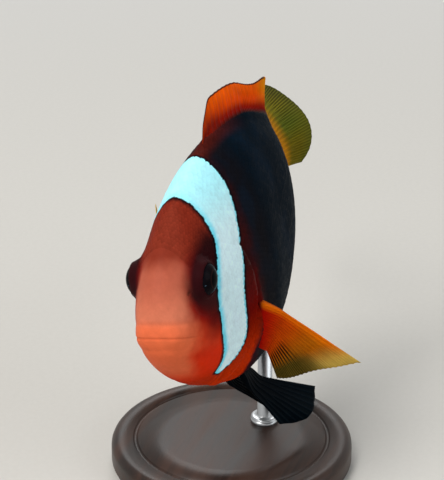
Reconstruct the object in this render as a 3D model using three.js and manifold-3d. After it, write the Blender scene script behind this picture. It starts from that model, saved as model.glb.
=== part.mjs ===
// A still, life-size model of a grown fire clownfish, swimming with its tail
// swung to its right, held over a round base by one short rod.
// Millimetres, +Z up. The fish faces +X and its left side is +Y.
// The origin is the centre of the underside of the base.
//
// The fish is first drawn straight, in its own coordinates: s runs back from
// the tip of the snout, y to its left and z up. Then its middle line is
// curved, its tail is twisted, and the whole fish is banked over the stand.

import * as THREE from 'three';
import { mergeVertices } from 'three/addons/utils/BufferGeometryUtils.js';
import Module from 'manifold-3d';

const wasm = await Module();
wasm.setup();

// ---------------------------------------------------------------- sizes

const STANDARD_LENGTH = 84;   // tip of the snout to the root of the tail fin
const GAP = 0.3;              // air left between neighbouring pieces
const RIM = 0.6;              // thickness of a fin at its free edge
const ROOT = { middle: 1.6, tail: 2.0, paired: 1.3 };    // and at its root
const AROUND = 36;            // faces round the body

const BASE_RADIUS = 24;
const BASE_HEIGHT = 5;
const BASE_CHAMFER = 0.8;
const ROD_RADIUS = 1.5;
const ROD_STATION = 0.59;     // where the rod meets the belly, on the standard length

const SWIM_HEIGHT = 48;       // height of the snout above the underside of the base
const MIDDLE_STATION = 0.50;  // the station that stands over the centre of the base
const BANK = 8.4;             // degrees, left side up
// The turns below are in degrees: each begins at a station and is complete
// after a further length of the fish, both as fractions of the standard length.
const NECK_BEND = { turn: 3.6, start: 0.22, over: 0.20 };    // the trunk turns to the left of the head
const TAIL_BEND = { turn: -23, start: 0.575, over: 0.40 };   // the tail turns back to the right
const FIN_SWEEP = { turn: 26, start: 1.00, over: 0.19 };     // and the tail fin trails to the left
const TAIL_TWIST = { turn: 37, start: 0.83, over: 0.50 };    // the lower lobe turns to the left
const TAIL_AXIS = 0.05;       // height of the line the tail twists about

// The body at stations along it, as fractions of the standard length:
// height of the back, height of the belly, and half of the greatest width.
const STATIONS = [
  { at: 0.00, back: 0.010, belly: -0.034, half: 0.020 },
  { at: 0.01, back: 0.056, belly: -0.070, half: 0.044 },
  { at: 0.04, back: 0.099, belly: -0.111, half: 0.062 },
  { at: 0.09, back: 0.147, belly: -0.156, half: 0.078 },
  { at: 0.16, back: 0.192, belly: -0.203, half: 0.092 },
  { at: 0.25, back: 0.231, belly: -0.245, half: 0.106 },
  { at: 0.36, back: 0.258, belly: -0.279, half: 0.113 },
  { at: 0.45, back: 0.268, belly: -0.284, half: 0.110 },
  { at: 0.60, back: 0.257, belly: -0.254, half: 0.084 },
  { at: 0.75, back: 0.208, belly: -0.150, half: 0.059 },
  { at: 0.86, back: 0.158, belly: -0.060, half: 0.030 },
  { at: 0.93, back: 0.137, belly: -0.034, half: 0.023 },
  { at: 1.00, back: 0.132, belly: -0.030, half: 0.015 },
];
const WIDEST = 0.45;          // height of the widest level, from belly to back
const UPPER_HEAD = 1.0;       // power of the sine on the upper half of the head
const UPPER_FLANK = 1.15;     // the same power on the upper flank, which is a little leaner
const UPPER_TAIL = 1.6;       // and over the tail, which is leaner still
const LEANER = { head: 0.25, start: 0.50, over: 0.30 };    // where each power passes into the next
const LOWER_FLANK = 0.95;     // power of the sine on the lower flank
const BELLY_ROUND = 0.9;      // power of the cosine on the lower flank

// The eyeball is flatter through than it is across; the brow is a low swelling
// over it, and the lips are one at the front of the snout.
const EYE = { at: 0.122, z: 0.067, y: 0.072, radius: 0.036, bulge: 0.027 };
const BROW = { at: 0.116, z: 0.106, rise: 0.012, spread: 0.024 };
const LIP = { z: -0.012, slope: -0.36, rise: 0.006, spread: 0.022, end: 0.055 };
const GILL_EDGE = { top: 0.245, side: 0.315, bottom: 0.215 };
const TAIL_START = 0.80;

// The rows of faces: along and across each fin and length of the body.
const HEAD_ROWS = 25;
const TRUNK_ROWS = 20;
const TAIL_ROWS = 7;
const EYE_FACES = { around: 18, down: 10 };
const ROUND_FACES = 48;       // round the base
const ROD_FACES = 18;         // round the rod

// ------------------------------------------------------- small functions

const rad = THREE.MathUtils.degToRad;
const lerp = THREE.MathUtils.lerp;

function smooth(t) {
  const c = Math.min(Math.max(t, 0), 1);
  return c * c * (3 - 2 * c);
}

// A curve through points that never overshoots them (a monotone cubic).
function curveThrough(xs, ys) {
  const n = xs.length;
  const step = xs.slice(1).map((x, i) => x - xs[i]);
  const rise = step.map((h, i) => (ys[i + 1] - ys[i]) / h);
  const slope = xs.map((_, i) => {
    if (i === 0) return rise[0];
    if (i === n - 1) return rise[n - 2];
    if (rise[i - 1] * rise[i] <= 0) return 0;
    const a = 2 * step[i] + step[i - 1];
    const b = step[i] + 2 * step[i - 1];
    return (a + b) / (a / rise[i - 1] + b / rise[i]);
  });
  return (x) => {
    let i = 0;
    while (i < n - 2 && x > xs[i + 1]) i += 1;
    const h = step[i];
    const t = Math.min(Math.max((x - xs[i]) / h, 0), 1);
    const left = ys[i] * (1 + 2 * t) + slope[i] * h * t;
    const right = ys[i + 1] * (3 - 2 * t) - slope[i + 1] * h * (1 - t);
    return left * (1 - t) * (1 - t) + right * t * t;
  };
}

// The profiles are read against the square root of the station, which
// rounds the snout.
const roots = STATIONS.map((row) => Math.sqrt(row.at));
const profile = (key) => {
  const through = curveThrough(roots, STATIONS.map((row) => row[key]));
  return (at) => through(Math.sqrt(Math.max(at, 0)));
};
const back = profile('back');
const belly = profile('belly');
const half = profile('half');

// ---------------------------------------------------------- the body skin

function upperPower(at) {
  const front = lerp(UPPER_HEAD, UPPER_FLANK, smooth(at / LEANER.head));
  return lerp(front, UPPER_TAIL, smooth((at - LEANER.start) / LEANER.over));
}

// A point of the body: angle 0 is the back, a quarter turn the left flank
// and half a turn the belly. Lengths are fractions of the standard length.
function bodyPoint(at, angle) {
  const top = back(at);
  const bottom = belly(at);
  const wide = lerp(bottom, top, WIDEST);
  const c = Math.cos(angle);
  const s = Math.sin(angle);
  const upper = c > 0;
  const side = Math.pow(Math.abs(s), upper ? upperPower(at) : LOWER_FLANK);
  const z = upper ? lerp(wide, top, c) : lerp(wide, bottom, Math.pow(-c, BELLY_ROUND));
  const brow = BROW.rise * Math.exp(-((at - BROW.at) ** 2 + (z - BROW.z) ** 2) / BROW.spread ** 2);
  const mouth = LIP.z + LIP.slope * at;
  const lip = LIP.rise * Math.exp(-(((z - mouth) / LIP.spread) ** 2)) * (1 - smooth(at / LIP.end));
  const y = Math.sign(s) * side * (half(at) + brow + 0.5 * lip);
  return [at - lip, y, z];
}

// The half width of the body at a height, for roots that sit on the flank.
function flankAt(at, z) {
  const wide = lerp(belly(at), back(at), WIDEST);
  if (z > wide) {
    const c = (z - wide) / (back(at) - wide);
    return half(at) * Math.pow(Math.sqrt(Math.max(1 - c * c, 0)), upperPower(at));
  }
  const c = Math.pow((wide - z) / (wide - belly(at)), 1 / BELLY_ROUND);
  return half(at) * Math.pow(Math.sqrt(Math.max(1 - c * c, 0)), LOWER_FLANK);
}

// ------------------------------------------------------------- the stance

// The middle line turns by the neck bend behind the head, by the tail bend
// over the rear half and by the sweep of the tail fin; its place is the
// running sum of its direction.
const turned = (part, at) => rad(part.turn) * smooth((at - part.start) / part.over);
const headingAt = (at) => turned(NECK_BEND, at) + turned(TAIL_BEND, at) + turned(FIN_SWEEP, at);

const LINE_STEP = 0.001;
const LINE_START = -0.05;
const LINE_END = 1.6;
const line = [];
for (let at = LINE_START, x = LINE_START, y = 0; at < LINE_END; at += LINE_STEP) {
  line.push({ x, y });
  x += Math.cos(headingAt(at)) * LINE_STEP;
  y += Math.sin(headingAt(at)) * LINE_STEP;
}

function middleAt(at) {
  const index = Math.min(Math.max((at - LINE_START) / LINE_STEP, 0), line.length - 2);
  const low = Math.floor(index);
  const t = index - low;
  return {
    x: lerp(line[low].x, line[low + 1].x, t),
    y: lerp(line[low].y, line[low + 1].y, t),
  };
}

// From the straight fish to its place in the model, in millimetres.
function pose([at, y, z]) {
  const twist = turned(TAIL_TWIST, at);
  const up = z - TAIL_AXIS;
  const side = y * Math.cos(twist) - up * Math.sin(twist);
  const high = y * Math.sin(twist) + up * Math.cos(twist) + TAIL_AXIS;
  const heading = headingAt(at);
  const middle = middleAt(at);
  const x = -(middle.x - Math.sin(heading) * side);
  const left = middle.y + Math.cos(heading) * side;
  const bank = rad(BANK);
  return new THREE.Vector3(
    (x + MIDDLE_STATION) * STANDARD_LENGTH,
    (left * Math.cos(bank) - high * Math.sin(bank)) * STANDARD_LENGTH,
    (left * Math.sin(bank) + high * Math.cos(bank)) * STANDARD_LENGTH + SWIM_HEIGHT,
  );
}

// ------------------------------------------------------------ mesh making

function geometryFrom(points, faces) {
  const geometry = new THREE.BufferGeometry();
  const numbers = points.flatMap((p) => [p.x, p.y, p.z]);
  geometry.setAttribute('position', new THREE.Float32BufferAttribute(numbers, 3));
  geometry.setIndex(faces.flat());
  return geometry;
}

// The volume inside a mesh; a negative one has its faces pointing in.
function volumeOf(points, faces) {
  const cross = new THREE.Vector3();
  const under = ([a, b, c]) => points[a].dot(cross.crossVectors(points[b], points[c])) / 6;
  return faces.reduce((sum, face) => sum + under(face), 0);
}

function closedBody(points, faces) {
  const out = volumeOf(points, faces) > 0 ? faces : faces.map(([a, b, c]) => [a, c, b]);
  return geometryFrom(points, out);
}

// A length of the body: rings of points from one edge to the other, with a
// ladder of rungs from left to right closing each end.
function bodyLength(rows, stationAt) {
  const points = [];
  const faces = [];
  for (let i = 0; i <= rows; i += 1) {
    for (let j = 0; j < AROUND; j += 1) {
      const angle = (j / AROUND) * 2 * Math.PI;
      points.push(pose(bodyPoint(stationAt(i / rows, angle), angle)));
    }
  }
  const id = (i, j) => i * AROUND + (j % AROUND);
  for (let i = 0; i < rows; i += 1) {
    for (let j = 0; j < AROUND; j += 1) {
      faces.push([id(i, j), id(i + 1, j), id(i + 1, j + 1)]);
      faces.push([id(i, j), id(i + 1, j + 1), id(i, j + 1)]);
    }
  }
  const cap = (i, turn) => {
    for (let j = 0; j < AROUND / 2; j += 1) {
      const rung = [id(i, j), id(i, j + 1), id(i, AROUND - j - 1), id(i, AROUND - j)];
      const [a, b, c, d] = turn ? [...rung].reverse() : rung;
      if (a !== b && b !== c && a !== c) faces.push([a, b, c]);
      if (a !== c && c !== d && a !== d) faces.push([a, c, d]);
    }
  };
  cap(0, false);
  cap(rows, true);
  return closedBody(points, faces);
}

// A fin: a middle surface of rays, u from root to edge and v across the
// rays, given its thickness half to each side along its normal.
function fin(across, along, middle, thickness) {
  const eps = 0.01;
  const sides = [[], []];
  const size = (across + 1) * (along + 1);
  for (let i = 0; i <= along; i += 1) {
    for (let j = 0; j <= across; j += 1) {
      const u = i / along;
      const v = j / across;
      const at = new THREE.Vector3(...middle(u, v));
      const du = new THREE.Vector3(...middle(u + eps, v)).sub(new THREE.Vector3(...middle(u - eps, v)));
      const dv = new THREE.Vector3(...middle(u, v + eps)).sub(new THREE.Vector3(...middle(u, v - eps)));
      const normal = du.cross(dv).normalize();
      const offset = thickness(u, v) / 2 / STANDARD_LENGTH;
      sides[0].push(pose(at.clone().addScaledVector(normal, offset).toArray()));
      sides[1].push(pose(at.clone().addScaledVector(normal, -offset).toArray()));
    }
  }
  const points = [...sides[0], ...sides[1]];
  const faces = [];
  const id = (side, i, j) => side * size + i * (across + 1) + j;
  for (let i = 0; i < along; i += 1) {
    for (let j = 0; j < across; j += 1) {
      faces.push([id(0, i, j), id(0, i + 1, j), id(0, i + 1, j + 1)]);
      faces.push([id(0, i, j), id(0, i + 1, j + 1), id(0, i, j + 1)]);
      faces.push([id(1, i, j), id(1, i + 1, j + 1), id(1, i + 1, j)]);
      faces.push([id(1, i, j), id(1, i, j + 1), id(1, i + 1, j + 1)]);
    }
  }
  const wall = (i0, j0, i1, j1) => {
    faces.push([id(0, i0, j0), id(0, i1, j1), id(1, i1, j1)]);
    faces.push([id(0, i0, j0), id(1, i1, j1), id(1, i0, j0)]);
  };
  for (let j = 0; j < across; j += 1) {
    wall(0, j, 0, j + 1);
    wall(along, j + 1, along, j);
  }
  for (let i = 0; i < along; i += 1) {
    wall(i + 1, 0, i, 0);
    wall(i, across, i + 1, across);
  }
  return closedBody(points, faces);
}

// ---------------------------------------------------- joining and cutting

function toSolid(geometry) {
  const bare = geometry.clone();
  bare.deleteAttribute('normal');
  bare.deleteAttribute('uv');
  const merged = mergeVertices(bare, 1e-4);
  return new wasm.Manifold(new wasm.Mesh({
    numProp: 3,
    vertProperties: new Float32Array(merged.attributes.position.array),
    triVerts: new Uint32Array(merged.index.array),
  }));
}

function fromSolid(solid) {
  const mesh = solid.getMesh();
  const geometry = new THREE.BufferGeometry();
  geometry.setAttribute('position', new THREE.BufferAttribute(new Float32Array(mesh.vertProperties), 3));
  geometry.setIndex(new THREE.BufferAttribute(new Uint32Array(mesh.triVerts), 1));
  return geometry;
}

// ------------------------------------------------------------ body pieces

// The rear edge of the gill covers bows back along the flank.
function gillEdge(angle) {
  const flank = Math.pow(Math.abs(Math.sin(angle)), 1.3);
  const ridge = lerp(GILL_EDGE.bottom, GILL_EDGE.top, (1 + Math.cos(angle)) / 2);
  return lerp(ridge, GILL_EDGE.side, flank);
}

const gap = GAP / STANDARD_LENGTH;

function eyeball(side, clearance) {
  const ball = new THREE.SphereGeometry(1, EYE_FACES.around, EYE_FACES.down);
  const place = ball.attributes.position;
  const points = [];
  const radius = EYE.radius + clearance;
  const bulge = EYE.bulge + clearance;
  for (let i = 0; i < place.count; i += 1) {
    const around = [place.getX(i) * radius, place.getY(i) * bulge, place.getZ(i) * radius];
    points.push(pose([EYE.at + around[0], side * (EYE.y + around[1]), EYE.z + around[2]]));
  }
  const merged = mergeVertices(geometryFrom(points, [[...ball.index.array]]), 1e-4);
  const vertices = [];
  for (let i = 0; i < merged.attributes.position.count; i += 1) {
    vertices.push(new THREE.Vector3().fromBufferAttribute(merged.attributes.position, i));
  }
  const faces = [];
  for (let i = 0; i < merged.index.count; i += 3) {
    const face = [merged.index.getX(i), merged.index.getX(i + 1), merged.index.getX(i + 2)];
    if (new Set(face).size === 3) faces.push(face);
  }
  return closedBody(vertices, faces);
}

function head() {
  const whole = bodyLength(HEAD_ROWS, (t, angle) => gillEdge(angle) * t * t);
  const sockets = [1, -1].map((side) => toSolid(eyeball(side, gap)));
  return fromSolid(toSolid(whole).subtract(sockets[0]).subtract(sockets[1]));
}

const trunk = () => bodyLength(TRUNK_ROWS, (t, angle) => lerp(gillEdge(angle) + gap, TAIL_START, t));
const tail = () => bodyLength(TAIL_ROWS, (t) => lerp(TAIL_START + gap, 1, t));

// ------------------------------------------------------------------- fins

// The dorsal fin stands on the back. Its spines lean back and grow quickly
// from the first; the margin sags before the soft rays and ends in a high tip.
// Its edge waves to the right in front and to the left at the rear tip.
// Shares such as grown and split run along the fin, from 0 to 1.
const DORSAL = { start: 0.392, end: 0.80, low: 0.036, high: 0.085, grown: 0.15, split: 0.58 };
const DORSAL_SAG = { depth: 0.014, at: 0.68, spread: 0.17 };
const DORSAL_TIP = { rise: 0.012, start: 0.76 };
const DORSAL_LEAN = { first: 54, last: 65 };
const DORSAL_WAVE = { front: -0.018, rear: 0.009, start: 0.5, over: 0.5 };
const SPINES = 10;
const NOTCH = 0.003;

function dorsalRay(v) {
  const rise = lerp(DORSAL.low, DORSAL.high, smooth(v / DORSAL.grown));
  const sag = DORSAL_SAG.depth * Math.exp(-(((v - DORSAL_SAG.at) / DORSAL_SAG.spread) ** 2));
  const tip = DORSAL_TIP.rise * smooth((v - DORSAL_TIP.start) / (1 - DORSAL_TIP.start));
  const spiny = v < DORSAL.split ? Math.abs(Math.sin((v / DORSAL.split) * SPINES * Math.PI)) : 0;
  return rise - sag + tip - NOTCH * spiny;
}

function dorsalMiddle(u, v) {
  const at = lerp(DORSAL.start, DORSAL.end, v);
  const lean = rad(lerp(DORSAL_LEAN.first, DORSAL_LEAN.last, v));
  const ray = dorsalRay(v);
  const rearward = smooth((v - DORSAL_WAVE.start) / DORSAL_WAVE.over);
  const wave = lerp(DORSAL_WAVE.front, DORSAL_WAVE.rear, rearward) * u * u * ray / DORSAL.high;
  return [at + Math.cos(lean) * u * ray, wave, back(at) + gap + Math.sin(lean) * u * ray];
}

const dorsalThick = (u) => lerp(ROOT.middle, RIM, Math.pow(u, 0.7));
const dorsalPart = (v0, v1, across) =>
  fin(across, 5, (u, v) => dorsalMiddle(u, lerp(v0, v1, v)), dorsalThick);

// The anal fin mirrors the soft dorsal fin under the tail.
const ANAL = { start: 0.635, end: 0.86, low: 0.03, high: 0.105, grown: 0.45, corner: 0.35, round: 0.8 };
const ANAL_LEAN = { first: 62, last: 42 };

function analMiddle(u, v) {
  const at = lerp(ANAL.start, ANAL.end, v);
  const lean = rad(lerp(ANAL_LEAN.first, ANAL_LEAN.last, v));
  const round = 1 - ANAL.corner * Math.max((v - ANAL.round) / (1 - ANAL.round), 0) ** 2;
  const length = u * lerp(ANAL.low, ANAL.high, smooth(v / ANAL.grown)) * round;
  return [at + Math.cos(lean) * length, 0, belly(at) - gap - Math.sin(lean) * length];
}

// The tail fin fans out from the end of the body to a rounded edge, and its
// upper rays are a little longer than the lower ones.
const CAUDAL = { length: 0.273, low: -0.026, high: 0.128, spread: 10.5, tilt: -4, corner: 0.34, skew: 0.10 };

function caudalMiddle(u, v) {
  const across = 2 * v - 1;
  const fan = rad(CAUDAL.tilt + CAUDAL.spread * across);
  const length = u * CAUDAL.length * (1 - CAUDAL.corner * Math.abs(across) ** 3 + CAUDAL.skew * across);
  return [
    1 + gap + Math.cos(fan) * length,
    0,
    lerp(CAUDAL.low, CAUDAL.high, v) + Math.sin(fan) * length,
  ];
}

const caudalThick = (u) => lerp(ROOT.tail, RIM, Math.pow(u, 0.5));

// A paired fin: its root runs from one point on the body to another, and its
// rays swing from the first direction and length to the last.
function pairedMiddle(shape, side) {
  const first = new THREE.Vector3(...shape.first.toward).normalize();
  const last = new THREE.Vector3(...shape.last.toward).normalize();
  return (u, v) => {
    const at = lerp(shape.first.at, shape.last.at, v);
    const z = lerp(shape.first.z, shape.last.z, v);
    const y = shape.rootY ? shape.rootY(at, z, v) : lerp(shape.first.y, shape.last.y, v);
    const ray = first.clone().lerp(last, v).normalize();
    const across = Math.min(Math.max(v, 0), 1);
    const bow = shape.bow * Math.sin(Math.PI * across);
    const length = u * (lerp(shape.first.length, shape.last.length, across ** shape.taper) + bow);
    return [at + ray.x * length, side * (y + ray.y * length), z - ray.z * length];
  };
}

// Directions are (back, out, down). The left fin strokes out and down while
// the right one is swept up along the flank.
const onFlank = (at, z) => flankAt(at, z) + 2.5 * gap;
const PECTORAL_LEFT = {
  first: { at: 0.322, z: -0.068, toward: [0.34, 0.64, 0.69], length: 0.272 },
  last: { at: 0.334, z: -0.180, toward: [0.42, -0.02, 0.90], length: 0.125 },
  rootY: onFlank,
  bow: 0,
  taper: 0.8,
};
const PECTORAL_RIGHT = {
  first: { at: 0.322, z: -0.068, toward: [0.73, 0.27, -0.63], length: 0.240 },
  last: { at: 0.334, z: -0.180, toward: [0.98, 0.18, 0.10], length: 0.125 },
  rootY: onFlank,
  bow: 0.012,
  taper: 0.8,
};
const PELVIC_LEFT = {
  first: { at: 0.358, y: 0.026, z: -0.286, toward: [0.56, 0.12, 0.82], length: 0.215 },
  last: { at: 0.398, y: 0.022, z: -0.291, toward: [0.82, 0.34, 0.53], length: 0.245 },
  bow: 0.052,
  taper: 1,
};
const PELVIC_RIGHT = {
  first: { at: 0.358, y: 0.022, z: -0.286, toward: [0.66, -0.22, 0.72], length: 0.205 },
  last: { at: 0.398, y: 0.018, z: -0.291, toward: [0.78, -0.06, 0.62], length: 0.175 },
  bow: 0.01,
  taper: 1,
};
const pairedThick = (u) => lerp(ROOT.paired, RIM, Math.pow(u, 0.6));

// ------------------------------------------------------------------ stand

function base() {
  const profilePoints = [
    new THREE.Vector2(0, 0),
    new THREE.Vector2(BASE_RADIUS - BASE_CHAMFER, 0),
    new THREE.Vector2(BASE_RADIUS, BASE_CHAMFER),
    new THREE.Vector2(BASE_RADIUS, BASE_HEIGHT - BASE_CHAMFER),
    new THREE.Vector2(BASE_RADIUS - BASE_CHAMFER, BASE_HEIGHT),
    new THREE.Vector2(0, BASE_HEIGHT),
  ];
  const disc = new THREE.LatheGeometry(profilePoints, ROUND_FACES);
  disc.rotateX(Math.PI / 2);
  return disc;
}

// The lowest point of the body over the rod, found on a fine grid.
function undersideOver(place) {
  let lowest = Infinity;
  for (let at = ROD_STATION - 0.05; at < ROD_STATION + 0.05; at += 0.002) {
    for (let angle = Math.PI * 0.8; angle < Math.PI * 1.2; angle += 0.01) {
      const point = pose(bodyPoint(at, angle));
      const away = Math.hypot(point.x - place.x, point.y - place.y);
      if (away < ROD_RADIUS * 1.2) lowest = Math.min(lowest, point.z);
    }
  }
  return lowest;
}

function rod() {
  const foot = pose([ROD_STATION, 0, belly(ROD_STATION)]);
  const bottom = BASE_HEIGHT + GAP;
  const top = undersideOver(foot) - GAP;
  const shaft = new THREE.CylinderGeometry(ROD_RADIUS, ROD_RADIUS, top - bottom, ROD_FACES);
  shaft.rotateX(Math.PI / 2);
  shaft.translate(foot.x, foot.y, (top + bottom) / 2);
  return shaft;
}

// --------------------------------------------------------------- assembly

const finish = (color, roughness) => new THREE.MeshStandardMaterial({ color, roughness, metalness: 0 });
const materials = {
  head: finish(0xc4421f, 0.5),
  trunk: finish(0x241a1c, 0.5),
  dorsal: finish(0xe8650f, 0.45),
  caudal: finish(0xb9a23a, 0.45),
  black: finish(0x10131c, 0.45),
  pectoral: finish(0xee8a1c, 0.45),
  eye: finish(0x14100f, 0.1),
  stand: finish(0x2b2c2e, 0.5),
  steel: new THREE.MeshStandardMaterial({ color: 0xb8bcc0, roughness: 0.3, metalness: 1 }),
};

const clownfish = new THREE.Group();

function add(name, geometry, material) {
  const mesh = new THREE.Mesh(geometry, material);
  mesh.name = name;
  clownfish.add(mesh);
}

const splitGap = (GAP / STANDARD_LENGTH) / (DORSAL.end - DORSAL.start);

add('head', head(), materials.head);
add('trunk', trunk(), materials.trunk);
add('tail', tail(), materials.trunk);
add('eye_left', eyeball(1, 0), materials.eye);
add('eye_right', eyeball(-1, 0), materials.eye);
add('dorsal_fin_spiny', dorsalPart(0, DORSAL.split, 30), materials.dorsal);
add('dorsal_fin_soft', dorsalPart(DORSAL.split + splitGap, 1, 14), materials.dorsal);
add('anal_fin', fin(12, 5, analMiddle, dorsalThick), materials.black);
add('caudal_fin', fin(16, 8, caudalMiddle, caudalThick), materials.caudal);
add('pectoral_fin_left', fin(13, 7, pairedMiddle(PECTORAL_LEFT, 1), pairedThick), materials.pectoral);
add('pectoral_fin_right', fin(13, 7, pairedMiddle(PECTORAL_RIGHT, -1), pairedThick), materials.pectoral);
add('pelvic_fin_left', fin(10, 7, pairedMiddle(PELVIC_LEFT, 1), pairedThick), materials.black);
add('pelvic_fin_right', fin(10, 7, pairedMiddle(PELVIC_RIGHT, -1), pairedThick), materials.black);
add('stand_base', base(), materials.stand);
add('stand_rod', rod(), materials.steel);

export default clownfish;
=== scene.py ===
"""A still, life-size fire clownfish over a turned display base.

Lengths of the fish are fractions of its standard length, in its own straight
coordinates: at runs back from the tip of the snout, y to its left and z up.
pose() bends, twists and banks the straight fish and gives metres.
"""

import math

import bpy
import numpy as np
from mathutils import Matrix, Vector


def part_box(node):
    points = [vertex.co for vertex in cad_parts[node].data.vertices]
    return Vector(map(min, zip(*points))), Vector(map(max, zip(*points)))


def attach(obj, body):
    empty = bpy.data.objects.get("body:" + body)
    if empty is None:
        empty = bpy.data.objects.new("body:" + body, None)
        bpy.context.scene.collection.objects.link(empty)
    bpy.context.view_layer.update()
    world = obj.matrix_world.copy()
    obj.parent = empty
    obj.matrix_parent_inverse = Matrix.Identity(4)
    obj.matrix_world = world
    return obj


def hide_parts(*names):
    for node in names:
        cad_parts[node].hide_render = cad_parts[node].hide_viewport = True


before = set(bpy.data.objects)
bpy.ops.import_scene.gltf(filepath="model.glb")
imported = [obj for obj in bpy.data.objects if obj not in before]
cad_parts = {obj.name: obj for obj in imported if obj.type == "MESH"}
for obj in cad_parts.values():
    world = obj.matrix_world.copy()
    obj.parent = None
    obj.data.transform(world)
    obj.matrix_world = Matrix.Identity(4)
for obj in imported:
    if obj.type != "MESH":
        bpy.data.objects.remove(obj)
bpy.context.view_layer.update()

# ------------ sizes

SL = 0.084  # standard length, in metres
MM = 0.001 / SL  # a millimetre, as a fraction of the standard length

SWIM_HEIGHT = 0.048  # height of the snout above the base's underside, metres
MIDDLE_STATION = 0.50  # the station that stands over the centre of the base
BANK = math.radians(8.4)  # left side up
# Each turn: degrees, the station where it begins, and the length it takes.
NECK_BEND = (3.6, 0.22, 0.20)
TAIL_BEND = (-23.0, 0.575, 0.40)
FIN_SWEEP = (26.0, 1.00, 0.19)
TAIL_TWIST = (37.0, 0.83, 0.50)
TAIL_AXIS = 0.05  # height about which the tail twists

# Station, height of the back, height of the belly, half of the greatest width.
STATIONS = np.array([
    (0.00, 0.010, -0.034, 0.0200),
    (0.01, 0.056, -0.070, 0.0440),
    (0.04, 0.099, -0.111, 0.0620),
    (0.09, 0.147, -0.156, 0.0780),
    (0.16, 0.192, -0.203, 0.0920),
    (0.25, 0.231, -0.245, 0.1060),
    (0.36, 0.258, -0.279, 0.1130),
    (0.45, 0.268, -0.284, 0.1100),
    (0.60, 0.257, -0.254, 0.0840),
    (0.75, 0.208, -0.150, 0.0590),
    (0.86, 0.158, -0.060, 0.0300),
    (0.93, 0.137, -0.034, 0.0230),
    (1.00, 0.132, -0.030, 0.0150),
])
WIDEST = 0.45  # share of the depth at which a section is widest
# Powers that make a section fuller (below 1) or leaner (above 1).
UPPER_HEAD, UPPER_FLANK, UPPER_TAIL = 1.0, 1.15, 1.6
LOWER_FLANK, BELLY_ROUND = 0.95, 0.9

EYE = {"at": 0.122, "z": 0.067, "y": 0.072, "radius": 0.036, "bulge": 0.027}
BROW = {"at": 0.116, "z": 0.106, "rise": 0.012, "spread": 0.024}
LIP = {"z": -0.012, "slope": -0.36, "rise": 0.006, "spread": 0.022, "end": 0.055}
GILL_EDGE = {"side": 0.315, "forward_above": 0.060, "forward_below": 0.105}


# ------------ small functions

def smooth(t):
    """0 below 0, 1 above 1, and 3t^2 - 2t^3 between."""
    t = np.clip(t, 0, 1)
    return t * t * (3 - 2 * t)


def ramp(x, start, end):
    """A smooth step from 0 at start to 1 at end, whichever is larger."""
    return smooth((x - start) / (end - start))


def lerp(a, b, t):
    """On a straight line from a, where t is 0, to b, where t is 1."""
    return a + (b - a) * t


def bell(x, spread):
    """A bump of height 1 at 0: exp(-(x / spread)^2)."""
    return np.exp(-(x / spread) ** 2)


def unit(v):
    """Vectors divided by their lengths."""
    return v / np.maximum(np.linalg.norm(v, axis=-1, keepdims=True), 1e-12)


def curve_through(xs, ys):
    """A monotone cubic through points: Hermite pieces whose slopes are the
    weighted harmonic means of the rises on either side."""
    xs, ys = np.asarray(xs, float), np.asarray(ys, float)
    gap = np.diff(xs)
    rise = np.diff(ys) / gap
    before, after = 2 * gap[1:] + gap[:-1], gap[1:] + 2 * gap[:-1]
    product = rise[:-1] * rise[1:]
    mean = (before + after) * product / np.where(product > 0, before * rise[1:] + after * rise[:-1], 1)
    slope = np.concatenate([rise[:1], np.where(product > 0, mean, 0), rise[-1:]])

    def read(x):
        x = np.asarray(x, float)
        i = np.clip(np.searchsorted(xs, x, "right") - 1, 0, len(gap) - 1)
        h = gap[i]
        t = np.clip((x - xs[i]) / h, 0, 1)
        left = ys[i] * (1 + 2 * t) + slope[i] * h * t
        right = ys[i + 1] * (3 - 2 * t) - slope[i + 1] * h * (1 - t)
        return left * (1 - t) ** 2 + right * t ** 2

    return read


def by_root(column):
    """A body profile, read against the square root of the station."""
    read = curve_through(np.sqrt(STATIONS[:, 0]), STATIONS[:, column])
    return lambda at: read(np.sqrt(np.maximum(at, 0)))


back, belly, half = by_root(1), by_root(2), by_root(3)


def upper_power(at):
    """The sine's power above the widest line, from head to flank to tail."""
    front = lerp(UPPER_HEAD, UPPER_FLANK, ramp(at, 0, 0.25))
    return lerp(front, UPPER_TAIL, ramp(at, 0.5, 0.8))


def mouth_height(at):
    """The mouth slopes down and back in a straight line."""
    return LIP["z"] + LIP["slope"] * at


def body_point(at, angle, shrink):
    """The smooth body. Angle 0 is the back and pi the belly; height follows
    the cosine and width a power of the sine between the three profiles.
    shrink draws a section in towards its middle."""
    top, bottom = back(at), belly(at)
    middle = (top + bottom) / 2
    wide = lerp(bottom, top, WIDEST)
    c, s = np.cos(angle), np.sin(angle)
    upper = c > 0
    side = np.abs(s) ** np.where(upper, upper_power(at), LOWER_FLANK)
    z = np.where(upper, lerp(wide, top, c), lerp(wide, bottom, np.abs(c) ** BELLY_ROUND))
    z = middle + (z - middle) * shrink
    brow = BROW["rise"] * bell(np.hypot(at - BROW["at"], z - BROW["z"]), BROW["spread"])
    lip = LIP["rise"] * bell(z - mouth_height(at), LIP["spread"]) * ramp(at, LIP["end"], 0)
    y = np.sign(s) * side * (half(at) + brow + 0.5 * lip) * shrink
    return np.stack([at - lip, y, z], -1)


def flank_at(at, z):
    """Half the body's width at a height."""
    wide = lerp(belly(at), back(at), WIDEST)
    up = np.clip((z - wide) / (back(at) - wide), 0, 1)
    down = np.clip((wide - z) / (wide - belly(at)), 0, 1) ** (1 / BELLY_ROUND)
    power = np.where(z > wide, upper_power(at), LOWER_FLANK)
    return half(at) * np.sqrt(1 - np.maximum(up, down) ** 2) ** power


def turned(turn, at):
    """The part of a turn reached at a station, by a smooth step, in radians."""
    degrees, start, over = turn
    return math.radians(degrees) * smooth((at - start) / over)


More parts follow.
